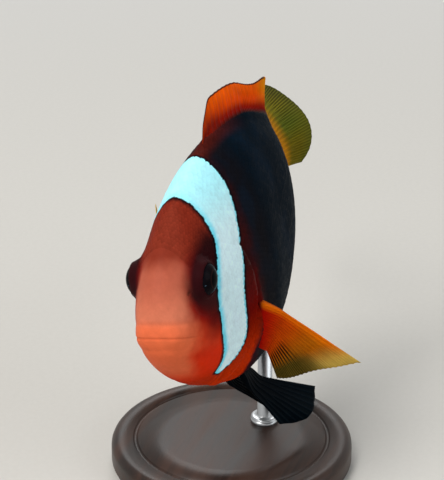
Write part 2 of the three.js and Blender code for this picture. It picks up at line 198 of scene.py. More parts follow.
def heading_at(at):
    """The middle line's direction: the sum of the bends so far."""
    return turned(NECK_BEND, at) + turned(TAIL_BEND, at) + turned(FIN_SWEEP, at)


# The middle line is the running sum of its own direction.
LINE_STEP = 0.001
LINE_AT = np.arange(-0.05, 1.6, LINE_STEP)


def running_sum(rate):
    """The sum of all the steps before each place on the line."""
    return LINE_STEP * np.concatenate([[0], np.cumsum(rate)[:-1]])


LINE_X = LINE_AT[0] + running_sum(np.cos(heading_at(LINE_AT)))
LINE_Y = running_sum(np.sin(heading_at(LINE_AT)))


def pose(rest):
    """From the straight fish to the model, in metres: a section turns by the
    tail twist, stands across the bent middle line, and the whole is banked
    and lifted over the base."""
    at, y, z = np.moveaxis(rest, -1, 0)
    twist = turned(TAIL_TWIST, at)
    up = z - TAIL_AXIS
    side = y * np.cos(twist) - up * np.sin(twist)
    high = y * np.sin(twist) + up * np.cos(twist) + TAIL_AXIS
    heading = heading_at(at)
    x = np.sin(heading) * side - np.interp(at, LINE_AT, LINE_X)
    left = np.interp(at, LINE_AT, LINE_Y) + np.cos(heading) * side
    return np.stack([
        (x + MIDDLE_STATION) * SL,
        (left * math.cos(BANK) - high * math.sin(BANK)) * SL,
        (left * math.sin(BANK) + high * math.cos(BANK)) * SL + SWIM_HEIGHT,
    ], -1)


# ------------ mesh making

def grid_quads(rows, cols, wrap=False):
    """The faces of a grid of points, row after row; wrap joins the last
    column to the first."""
    i = np.arange(rows - 1)[:, None]
    j = np.arange(cols if wrap else cols - 1)[None, :]
    k = (j + 1) % cols
    quads = np.stack([i * cols + j, (i + 1) * cols + j, (i + 1) * cols + k, i * cols + k], -1)
    return quads.reshape(-1, 4)


def closed_rings(rings, first, last):
    """Points, quads and triangles of a grid of rings, closed at either end by
    a fan to one more point."""
    rows, cols = rings.shape[:2]
    ring = np.arange(cols)
    after = (ring + 1) % cols
    end = (rows - 1) * cols
    fans = np.concatenate([np.stack([np.full(cols, rows * cols), ring, after], -1),
                           np.stack([np.full(cols, rows * cols + 1), end + after, end + ring], -1)])
    points = np.concatenate([rings.reshape(-1, 3), [first, last]])
    return points, grid_quads(rows, cols, wrap=True), fans


def new_object(name, data):
    made = bpy.data.objects.new(name, data)
    bpy.context.scene.collection.objects.link(made)
    return made


def make_piece(name, points, quads, tris, material, nodes, vectors=(), flat_tris=False, bake_map=None):
    """A mesh in metres with its faces outwards. vectors are named 3-number
    attributes of the points, flat_tris leaves the triangles unsmoothed, and
    bake_map is each point's place in the UV map OFBake."""
    quads, tris = np.reshape(quads, (-1, 4)), np.reshape(tris, (-1, 3)).astype(int)
    points = np.reshape(points, (-1, 3))
    fans = np.concatenate([quads[:, [0, 1, 2]], quads[:, [0, 2, 3]], tris])
    a, b, c = (points[fans[:, k]] for k in range(3))
    if np.einsum("ij,ij->i", a, np.cross(b, c)).sum() < 0:
        quads, tris = quads[:, ::-1], tris[:, ::-1]
    corners = np.concatenate([quads.ravel(), tris.ravel()])
    starts = np.concatenate([np.arange(len(quads)) * 4, len(quads) * 4 + np.arange(len(tris)) * 3])
    mesh = bpy.data.meshes.new(name)
    for part, key, values in ((mesh.vertices, "co", points.astype(np.float32)),
                              (mesh.loops, "vertex_index", corners.astype(np.int32)),
                              (mesh.polygons, "loop_start", starts.astype(np.int32))):
        part.add(len(values))
        part.foreach_set(key, values.ravel())
    mesh.polygons.foreach_set("use_smooth", (np.arange(len(starts)) < len(quads)) | (not flat_tris))
    mesh.update(calc_edges=True)
    for key, value in dict(vectors).items():
        numbers = mesh.attributes.new(key, "FLOAT_VECTOR", "POINT")
        numbers.data.foreach_set("vector", np.asarray(value, np.float32).ravel())
    if bake_map is not None:
        layer = mesh.uv_layers.new(name="OFBake")
        layer.data.foreach_set("uv", np.asarray(bake_map, np.float32).reshape(-1, 2)[corners].ravel())
    mesh.materials.append(material)
    piece = new_object(name, mesh)
    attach(piece, "root")
    if nodes:
        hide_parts(*nodes)


# ------------ node helpers

class Field:
    """An output socket in its node tree. + - * and ** make a Math node each."""

    def __init__(self, tree, socket):
        self.tree, self.socket = tree, socket

    def __add__(self, other):
        return calc("ADD", self, other)

    def __sub__(self, other):
        return calc("SUBTRACT", self, other)

    def __mul__(self, other):
        return calc("MULTIPLY", self, other)

    def __pow__(self, other):
        return calc("POWER", self, other)


def linear(code):
    """A written colour such as c4421f as the four linear numbers of a socket."""
    parts = [int(code[i:i + 2], 16) / 255 for i in (0, 2, 4)]
    return (*[p / 12.92 if p < 0.04045 else ((p + 0.055) / 1.055) ** 2.4 for p in parts], 1.0)


def wire(value, socket):
    """Links a field to an input, or sets a plain number or colour on it."""
    if isinstance(value, Field):
        value.tree.links.new(value.socket, socket)
    else:
        socket.default_value = linear(value) if isinstance(value, str) else value


def set_inputs(node, **values):
    for key, value in values.items():
        wire(value, node.inputs[key.replace("_", " ")])


def add_node(tree, kind, operation=None, **values):
    """A new node; an operation is set before the inputs, which depend on it."""
    node = tree.nodes.new("ShaderNode" + kind)
    if operation:
        node.operation = operation
    set_inputs(node, **values)
    return node


def outputs_of(tree, node):
    return {socket.name: Field(tree, socket) for socket in node.outputs}


def calc(operation, *values):
    """One Math node over fields and plain numbers."""
    tree = next(value.tree for value in values if isinstance(value, Field))
    node = add_node(tree, "Math", operation)
    for socket, value in zip(node.inputs, values):
        wire(value, socket)
    return Field(tree, node.outputs[0])


def spread(value, low, high, out_low, out_high):
    """A straight remapping that stops at both ends."""
    node = add_node(value.tree, "MapRange", Value=value, From_Min=low, From_Max=high,
                    To_Min=out_low, To_Max=out_high)
    return Field(value.tree, node.outputs[0])


def step(value, start, end):
    """A smooth step from 0 at start to 1 at end, as ramp() is for arrays."""
    node = add_node(value.tree, "MapRange", Value=value, From_Min=start, From_Max=end)
    node.interpolation_type = "SMOOTHSTEP"
    return Field(value.tree, node.outputs[0])


def hump(value, centre, width):
    """A smooth bump: 1 at centre and 0 a width away."""
    return step(calc("ABSOLUTE", value - centre), width, 0.0)


def blend(mask, under, over):
    """Colour over laid on colour under where mask is 1."""
    node = add_node(mask.tree, "Mix")
    node.data_type = "RGBA"
    for place, value in ((0, mask), (6, under), (7, over)):
        wire(value, node.inputs[place])
    return Field(mask.tree, node.outputs[2])


def layers(colour, *coats):
    """Coats of (mask, colour) laid over a colour one after another."""
    for mask, over in coats:
        colour = blend(mask, colour, over)
    return colour


def scaled(colour, factor):
    """A colour made lighter or darker by a factor."""
    node = add_node(colour.tree, "VectorMath", "SCALE", Scale=factor)
    wire(colour, node.inputs[0])
    return Field(colour.tree, node.outputs[0])


def noise(place, scale, detail=3.0, rough=0.55):
    node = add_node(place.tree, "TexNoise", Vector=place, Scale=scale, Detail=detail, Roughness=rough)
    return Field(place.tree, node.outputs["Fac"])


def attribute(tree, name):
    node = add_node(tree, "Attribute")
    node.attribute_name = name
    return Field(tree, node.outputs["Vector"])


def object_place(tree, turn=0.0, scale=(1, 1, 1)):
    """The place in the piece's own coordinates, turned about z and scaled."""
    place = outputs_of(tree, add_node(tree, "TexCoord"))["Object"]
    node = add_node(tree, "Mapping", Vector=place, Rotation=(0, 0, turn), Scale=scale)
    return Field(tree, node.outputs[0])


def parts_of(vector):
    node = add_node(vector.tree, "SeparateXYZ", Vector=vector)
    return [Field(vector.tree, socket) for socket in node.outputs]


def joined(x, y, z=0.0):
    node = add_node(x.tree, "CombineXYZ", X=x, Y=y, Z=z)
    return Field(x.tree, node.outputs[0])


def bump(height, distance, strength):
    node = add_node(height.tree, "Bump", Height=height, Distance=distance, Strength=strength)
    return Field(height.tree, node.outputs[0])


def seen_directly(tree):
    """1 for camera, glossy and transmission rays, 0 for the rays that light."""
    path = outputs_of(tree, add_node(tree, "LightPath"))
    seen = calc("MAXIMUM", path["Is Camera Ray"], path["Is Transmission Ray"])
    return calc("MAXIMUM", seen, path["Is Glossy Ray"])


def new_group(name, inputs, outputs):
    """A shader group: its tree, its inputs, and a function that wires its
    outputs."""
    tree = bpy.data.node_groups.new(name, "ShaderNodeTree")
    for way, sockets in (("INPUT", inputs), ("OUTPUT", outputs)):
        for key, kind in sockets.items():
            tree.interface.new_socket(key, in_out=way, socket_type="NodeSocket" + kind)
    entry = outputs_of(tree, tree.nodes.new("NodeGroupInput"))
    leave = tree.nodes.new("NodeGroupOutput")
    return tree, entry, lambda **values: set_inputs(leave, **values)


def place_group(tree, group, **values):
    """The outputs of a group placed inside a material."""
    node = tree.nodes.new("ShaderNodeGroup")
    node.node_tree = group
    set_inputs(node, **values)
    return outputs_of(tree, node)


def new_material(name, **constants):
    """A material with one Principled BSDF: the material, its tree and the
    shader."""
    material = bpy.data.materials.new(name)
    material.use_nodes = True
    tree = material.node_tree
    shader = tree.nodes["Principled BSDF"]
    set_inputs(shader, **constants)
    return material, tree, shader


# ------------ markings

# The pale bar's two edges: the station low on the cheek, how far back an edge
# swings on its way up to the nape and over which heights, the depth of the
# front edge's hollow, and how far each edge turns at the bar's lower end.
BAR_FRONT = {"low": 0.147, "nape": 0.066, "heights": (-0.01, 0.15), "hollow": 0.007, "end": 0.030}
BAR_REAR = {"low": 0.250, "nape": 0.097, "heights": (-0.05, 0.22), "end": 0.090}
HOLLOW_AT, HOLLOW_REACH = -0.115, 0.050
FRONT_END = (-0.160, -0.180)  # heights over which each edge turns
REAR_END = (-0.060, -0.173)
SCALE_RAGGED = 0.25  # share of the bar's edge that follows whole scales


def bar_front(height):
    """The front edge's station: a smooth step back to the nape, a slight hollow
    on the cheek, and a smooth step back at the lower end."""
    nape = step(height, *BAR_FRONT["heights"]) * BAR_FRONT["nape"]
    hollow = hump(height, HOLLOW_AT, HOLLOW_REACH) * BAR_FRONT["hollow"]
    end = step(height, *FRONT_END) * BAR_FRONT["end"]
    return nape + hollow + end + BAR_FRONT["low"]


def bar_rear(height):
    """The rear edge's station: a smooth step back to the nape, and at the lower
    end a turn forward by the fourth power of the way down."""
    nape = step(height, *BAR_REAR["heights"]) * BAR_REAR["nape"]
    end = spread(height, *REAR_END, 0.0, 1.0) ** 4.0 * BAR_REAR["end"]
    return nape - end + BAR_REAR["low"]


def face_colour(at, side, z, wander):
    """A salmon front, partly its own colour and partly painted light where the face looks ahead;
    orange lips and chin; deep red cheeks, partly their own colour and partly painted
    shade; a brown red forehead; painted shade under the chin and along the mouth; and a
    dusky patch from round the eye back to the bar, partly its own colour and partly painted shade."""
    brow_side = calc("MAXIMUM", z, 0.0) ** 2.0 * 1.1
    chin_side = calc("MINIMUM", z + 0.03, 0.0) * -0.20
    outward = side + (brow_side + chin_side) + at * 0.10 + wander
    flush = step(outward, 0.100, 0.066) * step(z, 0.020, -0.060)
    # The salmon front: partly the face's own colour, partly painted light where the face looks ahead.
    front = step(outward, 0.080, 0.054) * step(z, -0.158, -0.095)
    salmon = blend(step(z, -0.04, 0.03), "dc6640", "d4775a")
    salmon = blend(step(z, 0.02, 0.10), salmon, "b45c46")
    lips = z - at * LIP["slope"]
    lip_band = step(lips, -0.060, -0.025) * step(lips, 0.034, 0.006) * step(side + wander, 0.085, 0.030)
    # Painted shade: a dark line along the crease of the closed mouth.
    mouth = hump(lips, LIP["z"], 0.0040) * step(at, 0.062, 0.045)
    # Painted shade: the chin and throat darker towards the bottom.
    painted_underside_shade = step(z, -0.125, -0.180)
    forehead = step(z + side * 0.25 + wander, 0.108, 0.144)
    # Deeper red below the eye: partly the cheek's own colour, partly painted shade.
    below_eye_red_and_shade = hump(z, -0.010, 0.085) * step(at, 0.070, 0.125)
    # The dusky patch round the eye back to the bar: partly the fish's own colour, partly painted shade.
    above = z - 0.072
    above = calc("MAXIMUM", above * 0.72, above * -1.0)
    from_eye = calc("SQRT", (at - 0.137) ** 2.0 + above ** 2.0)
    patch = step(from_eye + wander, 0.102, 0.066) * step(side, 0.040, 0.066) * step(z, 0.205, 0.115)
    dusk = blend(step(z, 0.010, 0.050), "340a0c", "1e0c10")
    # Deep red on the upper cheek, brighter red towards the chin: partly the cheek's own colour, partly
    # painted shade.
    cheek = blend(step(z + wander, -0.105, -0.020), "d62a02", "8c0c04")
    return layers(
        cheek, (flush * 0.85, "d02e08"), (front, salmon), (lip_band * 0.8, "e86e44"),
        (mouth * 0.22, "7d1c0c"), (painted_underside_shade * 0.55, "86280a"), (forehead * 0.92, "802c1c"),
        (below_eye_red_and_shade * 0.85, "4a0705"), (patch * 0.95, dusk))


def flank_colour(at, side, z, wander, cloud):
    """Red brown behind the bar, then black, then bluish black; a brown ridge
    along the back, and a red breast that ends at a ragged edge."""
    behind = at + wander * 1.6
    ridge = step(side, 0.030, 0.006) * step(z, 0.15, 0.20) * step(at, 0.62, 0.42)
    breast = step(z + wander, 0.040, -0.080) * step(behind + z * -0.10, 0.352, 0.322)
    red = blend(step(z, -0.06, -0.20), "6b0a05", "c03004")
    brown = blend(step(behind, 0.300, 0.395), "3a100f", "121116")
    return layers(
        brown, (step(behind, 0.390, 0.480), "04101a"), (step(cloud, 0.45, 0.75) * 0.35, "0f2234"),
        (ridge * 0.7, "571a10"), (breast, red))


def marking_group():
    """The fish's colours over its straight coordinates: face, flank and the
    pale bar between them with its dark margins, and on the face some painted
    light and shade. Edge is the place whose colour a whole scale leans to.
    Bar is 1 on the bar."""
    tree, entry, leave = new_group(
        "fish_markings", {"Rest": "Vector", "Edge": "Vector"}, {"Color": "Color", "Bar": "Float"})
    at, y, z = parts_of(entry["Rest"])
    edge_at, _, edge_z = parts_of(entry["Edge"])
    side = calc("ABSOLUTE", y)
    cloud = noise(entry["Rest"], 9.0)
    speck = noise(entry["Rest"], 60.0, 4.0, 0.65)
    wander = (cloud - 0.5) * 0.05

    station = at * (1 - SCALE_RAGGED) + edge_at * SCALE_RAGGED + (speck - 0.5) * 0.010
    height = z * (1 - SCALE_RAGGED) + edge_z * SCALE_RAGGED
    ahead = station - bar_front(height)
    behind = bar_rear(height) - station
    inside = calc("MINIMUM", ahead, behind)
    bar = step(inside, -0.0015, 0.0010)
    pale = layers(
        blend(step(ahead, 0.001, 0.022), "6fe2fb", "dcf8ff"), (step(behind, 0.008, 0.0005), "7fdcf0"),
        (step(height, 0.10, 0.22) * 0.85, "a8f4ff"), (step(cloud, 0.50, 0.72) * 0.22, "cfdcf0"))
    colour = layers(
        face_colour(at, side, z, wander),
        (step(behind, 0.0, -0.004), flank_colour(at, side, z, wander, cloud)),
        (step(inside, -0.013, -0.0035) * 0.95, "080c12"), (bar, pale))
    leave(Color=scaled(colour, spread(speck, 0.25, 0.75, 0.91, 1.08)), Bar=bar)
    return tree


MARKINGS = marking_group()


def skin_material():
    """Moist naked skin, with fine pores in relief."""
    material, tree, shader = new_material("moist_skin", Specular_IOR_Level=0.02)
    rest = attribute(tree, "rest")
    pores = noise(rest, 260.0, 3.0, 0.6)
    set_inputs(
        shader, Base_Color=place_group(tree, MARKINGS, Rest=rest, Edge=rest)["Color"],
        Roughness=spread(pores, 0.3, 0.7, 0.38, 0.56), Normal=bump(pores, 0.00006, 0.5))
    return material


def scale_material():
    """The same markings on each scale, a little darker at its root, where the
    scale in front lies over it, as painted shade, except on the bar, with fine
    growth rings in relief. The attribute scale holds the place along the
    scale, across it, and a number of its own."""
    material, tree, shader = new_material("fish_scales", Specular_IOR_Level=0.006)
    marks = place_group(tree, MARKINGS, Rest=attribute(tree, "rest"), Edge=attribute(tree, "scale_root"))
    along, across, own = parts_of(attribute(tree, "scale"))
    even = marks["Bar"] * 0.7
    uneven = calc("SUBTRACT", 1.0, even)
    # Painted shade: darker towards the scale's root under the scale in front; the scale's own number varies
    # its tone at random.
    tone_and_root_shade = spread(own, 0, 1, 0.90, 1.10) * spread(along, 0.45, 1.0, 0.86, 1.06)
    tone_and_root_shade = tone_and_root_shade * uneven + even * 1.02
    rings = calc("SINE", (along - across ** 2.0 * 0.35) * 70.0)
    set_inputs(
        shader, Base_Color=scaled(marks["Color"], tone_and_root_shade),
        Roughness=spread(own, 0, 1, 0.36, 0.50), Normal=bump(rings, 0.000008, 0.4))
    return material


# ------------ skin

HALF_COLUMNS = 160  # columns of the skin from back to belly
TIP_ROWS = 11  # rows that close the snout
FINE_ANGLES = 361  # steps that measure a section's length
COAT_DEPTH = (0.10, 0.32)  # millimetres the skin lies below the scales: snout, body
TAIL_END = np.array([(1.006, 0.90), (1.011, 0.70), (1.014, 0.40)])  # station, share of the width
ROW_AT = np.concatenate([
    np.zeros(TIP_ROWS),
    np.linspace(0, math.sqrt(0.05), 35)[:-1] ** 2,
    np.linspace(0.05, 0.30, 79)[:-1],
    np.linspace(0.30, 0.80, 75)[:-1],
    np.linspace(0.80, 1.0, 40),
    TAIL_END[:, 0],
])


def column_shares():
    """Places of the grid's columns between back and belly, closer together
    round the eye and the mouth: the inverse of a running sum of their density."""
    share = np.linspace(0, 1, 801)
    density = 1 + 0.8 * bell(share - 0.40, 0.20)
    total = np.concatenate([[0], np.cumsum((density[1:] + density[:-1]) / 2)])
    return np.interp(np.linspace(0, 1, HALF_COLUMNS + 1), total / total[-1], share)


SHARES = column_shares()


def gill_edge(z):
    """Station of the gill cover's rear edge at a height: it bows back along
    the flank and swings forward to the throat."""
    down = np.clip((-0.02 - z) / 0.20, 0, 1)
    return (GILL_EDGE["side"] - GILL_EDGE["forward_above"] * ramp(z, -0.02, 0.17)
            - GILL_EDGE["forward_below"] * down ** 2)


# Lips, mouth and the grooves behind them: height above the mouth line, how far
# out, half width, and the stations between which the fold dies away.
LIP_FOLDS = [
    (0.0000, -0.0014, 0.0028, 0.060, 0.040),
    (0.0130, 0.0006, 0.0095, 0.060, 0.040),
    (0.0300, -0.0014, 0.0050, 0.060, 0.030),
    (-0.0120, 0.0004, 0.0090, 0.060, 0.040),
    (-0.0290, -0.0009, 0.0060, 0.055, 0.025),
]
NOSTRIL = {"at": 0.064, "z": 0.060, "rim": 0.0052}
EYE_ARC = {"at": 0.134, "z": 0.054, "radius": 0.068}
PECTORAL_FOOT = {"at": 0.328, "z": -0.124}


def folds(rest):
    """How far each point of the skin stands out from the smooth body: the sum
    of a bell across every fold, which smooth steps end along its length."""
    at, y, z = np.moveaxis(rest, -1, 0)
    side = np.abs(y)
    flanks = ramp(side, 0.02, 0.03)
    line = z - mouth_height(at)
    out = sum(rise * bell(line - level, wide) * ramp(at, gone, full)
              for level, rise, wide, gone, full in LIP_FOLDS)
    # The corner fold runs down and back from the end of the upper lip.
    corner = ramp(at, 0.046, 0.052) * ramp(at, 0.080, 0.066)
    out -= 0.0022 * bell(line + 0.35 * (at - 0.046), 0.0040) * corner

    # Nostril: a small pit with a raised rim.
    nostril = np.hypot(at - NOSTRIL["at"], z - NOSTRIL["z"])
    out += (0.0014 * bell(nostril - NOSTRIL["rim"], 0.0026) - 0.0052 * bell(nostril, 0.0032)) * flanks

    # Edge of the bone under the eye.
    arc = np.hypot((at - EYE_ARC["at"]) * 0.95, z - EYE_ARC["z"]) - EYE_ARC["radius"]
    lower = ramp(z, 0.045, 0.015) * ramp(side, 0.03, 0.05)
    out -= 0.0022 * bell(arc, 0.0045) * lower * ramp(at, 0.22, 0.19)

    # Cheek plate: a curved edge between the cheek and the gill cover.
    past = at - 0.205 + 0.55 * np.clip(-0.03 - z, 0, 1) ** 1.15 + 0.25 * np.clip(z - 0.02, 0, 1)
    cheek = ramp(z, 0.075, 0.035) * ramp(z, -0.165, -0.135) * flanks
    out += 0.0018 * cheek * ramp(past, 0.006, 0) * ramp(past, -0.05, 0)
    out -= 0.0010 * cheek * bell(past - 0.0078, 0.0048)

    # Gill cover: a raised plate that ends in a thin step over a groove.
    cover = ramp(z, 0.135, 0.025) * ramp(side, 0.012, 0.026)
    past = at - gill_edge(z)
    out += 0.0048 * cover * ramp(past, -0.11, -0.02) * ramp(past, 0.004, 0)
    out -= 0.0024 * cover * bell(past - 0.008, 0.006)

    # Two soft folds of the throat, along the gill membranes.
    throat = ramp(at, 0.07, 0.12) * ramp(at, 0.23, 0.19) * (z < -0.05)
    out -= 0.0012 * throat * bell(side - 0.10 * at, 0.0030)
    out -= 0.0010 * throat * bell(side - 0.22 * at, 0.0035)

    # The fleshy foot of the pectoral fin.
    foot = bell(at - PECTORAL_FOOT["at"], 0.020) * bell(z - PECTORAL_FOOT["z"], 0.062)
    out += 0.0100 * foot * ramp(side, 0.05, 0.07)

    # Scaled sheaths along the dorsal and anal fins.
    dorsal = ramp(at, 0.375, 0.415) * ramp(at, 0.83, 0.80) * (z > 0.05)
    anal = ramp(at, 0.625, 0.655) * ramp(at, 0.89, 0.86) * (z < 0.0)
    out += 0.0100 * bell(side, 0.011) * (dorsal + anal)

    # The channel of the sensory line, high on the flank.
    lateral = back(at) - 0.075 + 0.03 * ramp(at, 0.6, 0.9)
    return out + 0.0010 * bell(z - lateral, 0.0030) * ramp(at, 0.30, 0.34) * ramp(at, 0.78, 0.74)


def normals_of(points):
    """Unit normals of a grid that wraps round its columns, from the
    differences between neighbouring points; the snout's tip faces ahead."""
    along = np.gradient(points, axis=0)
    around = (np.roll(points, -1, 1) - np.roll(points, 1, 1)) / 2
    normal = unit(np.cross(along, around))
    normal[:2] = (-1, 0, 0)
    return normal


def settle_orbit(rest):
    """Round each eye the skin is drawn level with the eyeball's edge, raised
    into a rim, and tucked in underneath the ball."""
    at, y, z = np.moveaxis(rest, -1, 0)
    flank = np.abs(y) > 0.02
    away = np.hypot(at - EYE["at"], z - EYE["z"])
    rim = 0.91 * EYE["radius"]

    def ball_at(distance):
        return EYE["y"] + EYE["bulge"] * np.sqrt(np.clip(1 - (distance / EYE["radius"]) ** 2, 0, 1))

    past = away - rim
    side = lerp(np.abs(y), ball_at(rim), 0.85 * ramp(past, 0.016, 0) * flank)
    side += lerp(0.0026, 0.0044, ramp(z, EYE["z"], EYE["z"] + 0.02)) * bell(past - 0.0030, 0.0030) * flank
    under = ramp(past, 0.0018, -0.0012) * flank
    side = lerp(side, ball_at(away) - 0.0030 - 0.25 * np.clip(-past, 0, 1), under)
    return np.stack([at, np.where(flank, np.sign(y) * side, y), z], -1)


def skin_grid():
    """The length of each row of the skin from back to belly, and the rows of
    points, their columns shared out by length. The smooth body is drawn in by
    the depth of the coat, and the folds are added."""
    stations = ROW_AT[:, None]
    shrink = np.ones(len(ROW_AT))[:, None]
    shrink[:TIP_ROWS, 0] = np.linspace(0.06, 0.94, TIP_ROWS)
    thin = np.ones(len(ROW_AT))
    thin[-len(TAIL_END):] = TAIL_END[:, 1]
    fine = np.linspace(0, math.pi, FINE_ANGLES)
    section = body_point(stations, fine[None, :], shrink)
    run = np.linalg.norm(np.diff(section[..., 1:], axis=1), axis=-1)
    run = np.concatenate([np.zeros((len(run), 1)), np.cumsum(run, 1)], 1)
    angles = np.stack([np.interp(SHARES * r[-1], r, fine) for r in run])
    angles = np.concatenate([angles, 2 * math.pi - angles[:, -2:0:-1]], 1)
    rest = body_point(stations, angles, shrink)
    rest[..., 1] *= thin[:, None]
    depth = lerp(*COAT_DEPTH, ramp(stations, 0.08, 0.20)) * MM
    rest = rest + normals_of(rest) * (folds(rest) - depth)[..., None]
    return run[:, -1], settle_orbit(rest)


SKIN_RUN, SKIN_REST = skin_grid()
SKIN_NORMAL = normals_of(SKIN_REST)


def build_skin():
    """One closed skin: the grid of rows, with a fan to a middle point at the
    snout and at the root of the tail fin."""
    rest, quads, fans = closed_rings(SKIN_REST, SKIN_REST[0].mean(0), SKIN_REST[-1].mean(0))
    make_piece("body_skin", pose(rest), quads, fans, skin_material(),
               ("head", "trunk", "tail"), {"rest": rest})


# ------------ scales

def on_skin(at, around):
    """Point and normal of the skin at a station and a share of the way round,
    0 on the back and 1 or -1 on the belly, positive on the left: a mix of the
    four nearest grid points by distance."""
    rows, cols = SKIN_REST.shape[:2]
    i = np.interp(at, ROW_AT[TIP_ROWS:], np.arange(TIP_ROWS, rows))
    around = (around + 1) % 2 - 1
    j = np.interp(np.abs(around), SHARES, np.arange(HALF_COLUMNS + 1)) * np.sign(around)
    i0 = np.clip(np.floor(i).astype(int), 0, rows - 2)
    j0 = np.floor(j).astype(int)
    u, v = (i - i0)[..., None], (j - j0)[..., None]
    a, b = j0 % cols, (j0 + 1) % cols

    def mixed(grid):
        return lerp(lerp(grid[i0, a], grid[i0 + 1, a], u), lerp(grid[i0, b], grid[i0 + 1, b], u), v)

    return mixed(SKIN_REST), unit(mixed(SKIN_NORMAL))


def run_at(at):
    """Length of the skin from back to belly at a station."""
    return np.interp(at, ROW_AT[TIP_ROWS:], SKIN_RUN[TIP_ROWS:])


SCALE_ALONG = np.array([0.0, 0.30, 0.60, 0.84, 1.0])
SCALE_ACROSS = np.linspace(-1, 1, 6)
SCALE_LENGTH = 1.66  # both in pitches
SCALE_HALF_WIDTH = 0.64
ROW_GAP = 0.92  # pitches between one row's stations and the next
TURN_SPREAD, SIZE_SPREAD, LIFT_SPREAD, SHIFT_SPREAD = 0.05, 0.04, 0.12, 0.035
PATCH = 0.003  # size of a scale's patch in the UV map


def scale_shape():
    """One scale as a small closed plate: a grid of tops, 0 to 1 along and -1
    to 1 across, over a shallow fan underneath. Returns along, across, height
    (in pitches) and the faces."""
    a, b = (grid.ravel() for grid in np.meshgrid(SCALE_ALONG, SCALE_ACROSS, indexing="ij"))
    width = 0.72 + 0.28 * smooth(a / 0.45) - 0.08 * ramp(a, 0.75, 1.0)
    along = a - 0.38 * a ** 1.5 * b ** 2
    height = -0.01 + 0.090 * a + 0.035 * (1 - b ** 2) * a
    n, m = len(SCALE_ALONG), len(SCALE_ACROSS)
    index = np.arange(n * m).reshape(n, m)
    rim = np.concatenate([index[0, :-1], index[:-1, -1], index[-1, :0:-1], index[:0:-1, 0]])
    fan = np.stack([np.roll(rim, -1), rim, np.full(len(rim), n * m)], -1)
    return np.append(along, 0.55), np.append(b * width, 0.0), np.append(height, -0.09), grid_quads(n, m), fan


def lattice(start, end, pitch_at):
    """Roots of overlapping scales in staggered rows: stations a pitch apart,
    and lengths round from the back every pitch, each second ring moved by
    half. Returns station, share round, and pitch of each."""
    stations = [start]
    while stations[-1] < end:
        stations.append(stations[-1] + ROW_GAP * pitch_at(stations[-1]))
    found = []
    for i, at in enumerate(stations):
        pitch, run = pitch_at(at), run_at(at)
        count = int(run / pitch) + 1
        share = (np.arange(-count, count + 1) + 0.5 * (i % 2)) * pitch / run
        share = share[np.abs(share) <= 1]
        found.append(np.stack([np.full(len(share), at), share, np.full(len(share), pitch)], -1))
    return np.concatenate(found)


def build_scales(name, roots, material, seed):
    """A coat piece: every root gets one scale, laid on the skin along the
    body, its free edge lifted, with slight differences of turn and size."""
    rng = np.random.default_rng(seed)
    count = len(roots)
    at0, share0, pitch = roots.T[..., None]
    turn = rng.normal(0, TURN_SPREAD, (count, 1))
    size = 1 + rng.normal(0, SIZE_SPREAD, (count, 1))
    lift = 1 + rng.normal(0, LIFT_SPREAD, (count, 1))
    at0 = at0 + rng.normal(0, SHIFT_SPREAD, (count, 1)) * pitch
    own = rng.random((count, 1))
    along, across, height, quads, fan = scale_shape()
    length = SCALE_LENGTH * pitch * size
    da, db = along * length, across * SCALE_HALF_WIDTH * pitch * size
    at = at0 + da * np.cos(turn) - db * np.sin(turn)
    share = share0 + (db * np.cos(turn) + da * np.sin(turn)) / run_at(at0)
    ground, normal = on_skin(at, share)
    middle, _ = on_skin(at0 + 0.6 * length, share0)
    emerging = lerp(0.3, 1.0, ramp(at0, 0.10, 0.15))
    points = pose(ground + normal * (height * pitch * lift * emerging)[..., None])
    offset = (np.arange(count) * len(along))[:, None, None]
    facts = np.stack(np.broadcast_arrays(along, across, own), -1)
    spot = np.stack([at0 * 0.9 + 0.02, 0.5 + 0.45 * share0], -1)
    make_piece(name, points, quads + offset, fan + offset, material, (),
               {"rest": ground, "scale_root": np.broadcast_to(middle, ground.shape), "scale": facts},
               flat_tris=True, bake_map=spot + PATCH * np.stack([along - 0.5, across * 0.5], -1))


def head_pitch(at):
    """Distance between the head's scales: it grows towards the gill cover."""
    return lerp(0.62, 0.95, ramp(at, 0.10, 0.30)) * MM


def body_pitch(at):
    """Distance between the body's scales, greatest on the flank."""
    return lerp(lerp(0.98, 1.15, ramp(at, 0.22, 0.36)), 0.86, ramp(at, 0.62, 0.98)) * MM


def gill_cover_end(z, above, past):
    """The gill cover's edge moved by past, and station above over its top."""
    return lerp(above, gill_edge(z) + past, ramp(z, 0.13, 0.10))


NAKED_ORBIT = 0.047  # distance from the eye's middle without scales
REAR_COAT = 0.56  # where the rear coat pieces begin


def build_coat():
    """Small scales on the head, bounded by the naked snout, the orbit and the
    gill cover's edge, then the body's scales in front and rear pieces."""
    material = scale_material()
    head = lattice(0.085, 0.33, head_pitch)
    at, side, z = on_skin(head[:, 0], head[:, 1])[0].T
    side = np.abs(side)
    start = 0.092 + 0.050 * ramp(z, 0.075, 0.025) + 0.030 * ramp(z, -0.10, -0.15)
    end = gill_cover_end(z, 0.270, -0.001)
    naked = (np.hypot(at - EYE["at"], z - EYE["z"]) < NAKED_ORBIT) & (side > 0.03)
    throat = z <= -0.19 + 0.3 * (at - 0.2)
    keep = (at > start) & (at + SCALE_LENGTH * head[:, 2] < end) & ~naked & ~throat
    build_scales("scales_head", head[keep], material, 11)

    body = lattice(0.205, 0.985, body_pitch)
    at, side, z = on_skin(body[:, 0], body[:, 1])[0].T
    keep = at > gill_cover_end(z, 0.250, -0.002)
    front, left = at < REAR_COAT, side > 0
    for seed, (name, part) in enumerate((
            ("scales_flank_left", front & left), ("scales_flank_right", front & ~left),
            ("scales_rear_left", ~front & left), ("scales_rear_right", ~front & ~left)), 12):
        build_scales(name, body[keep & part], material, seed)


# ------------ fins

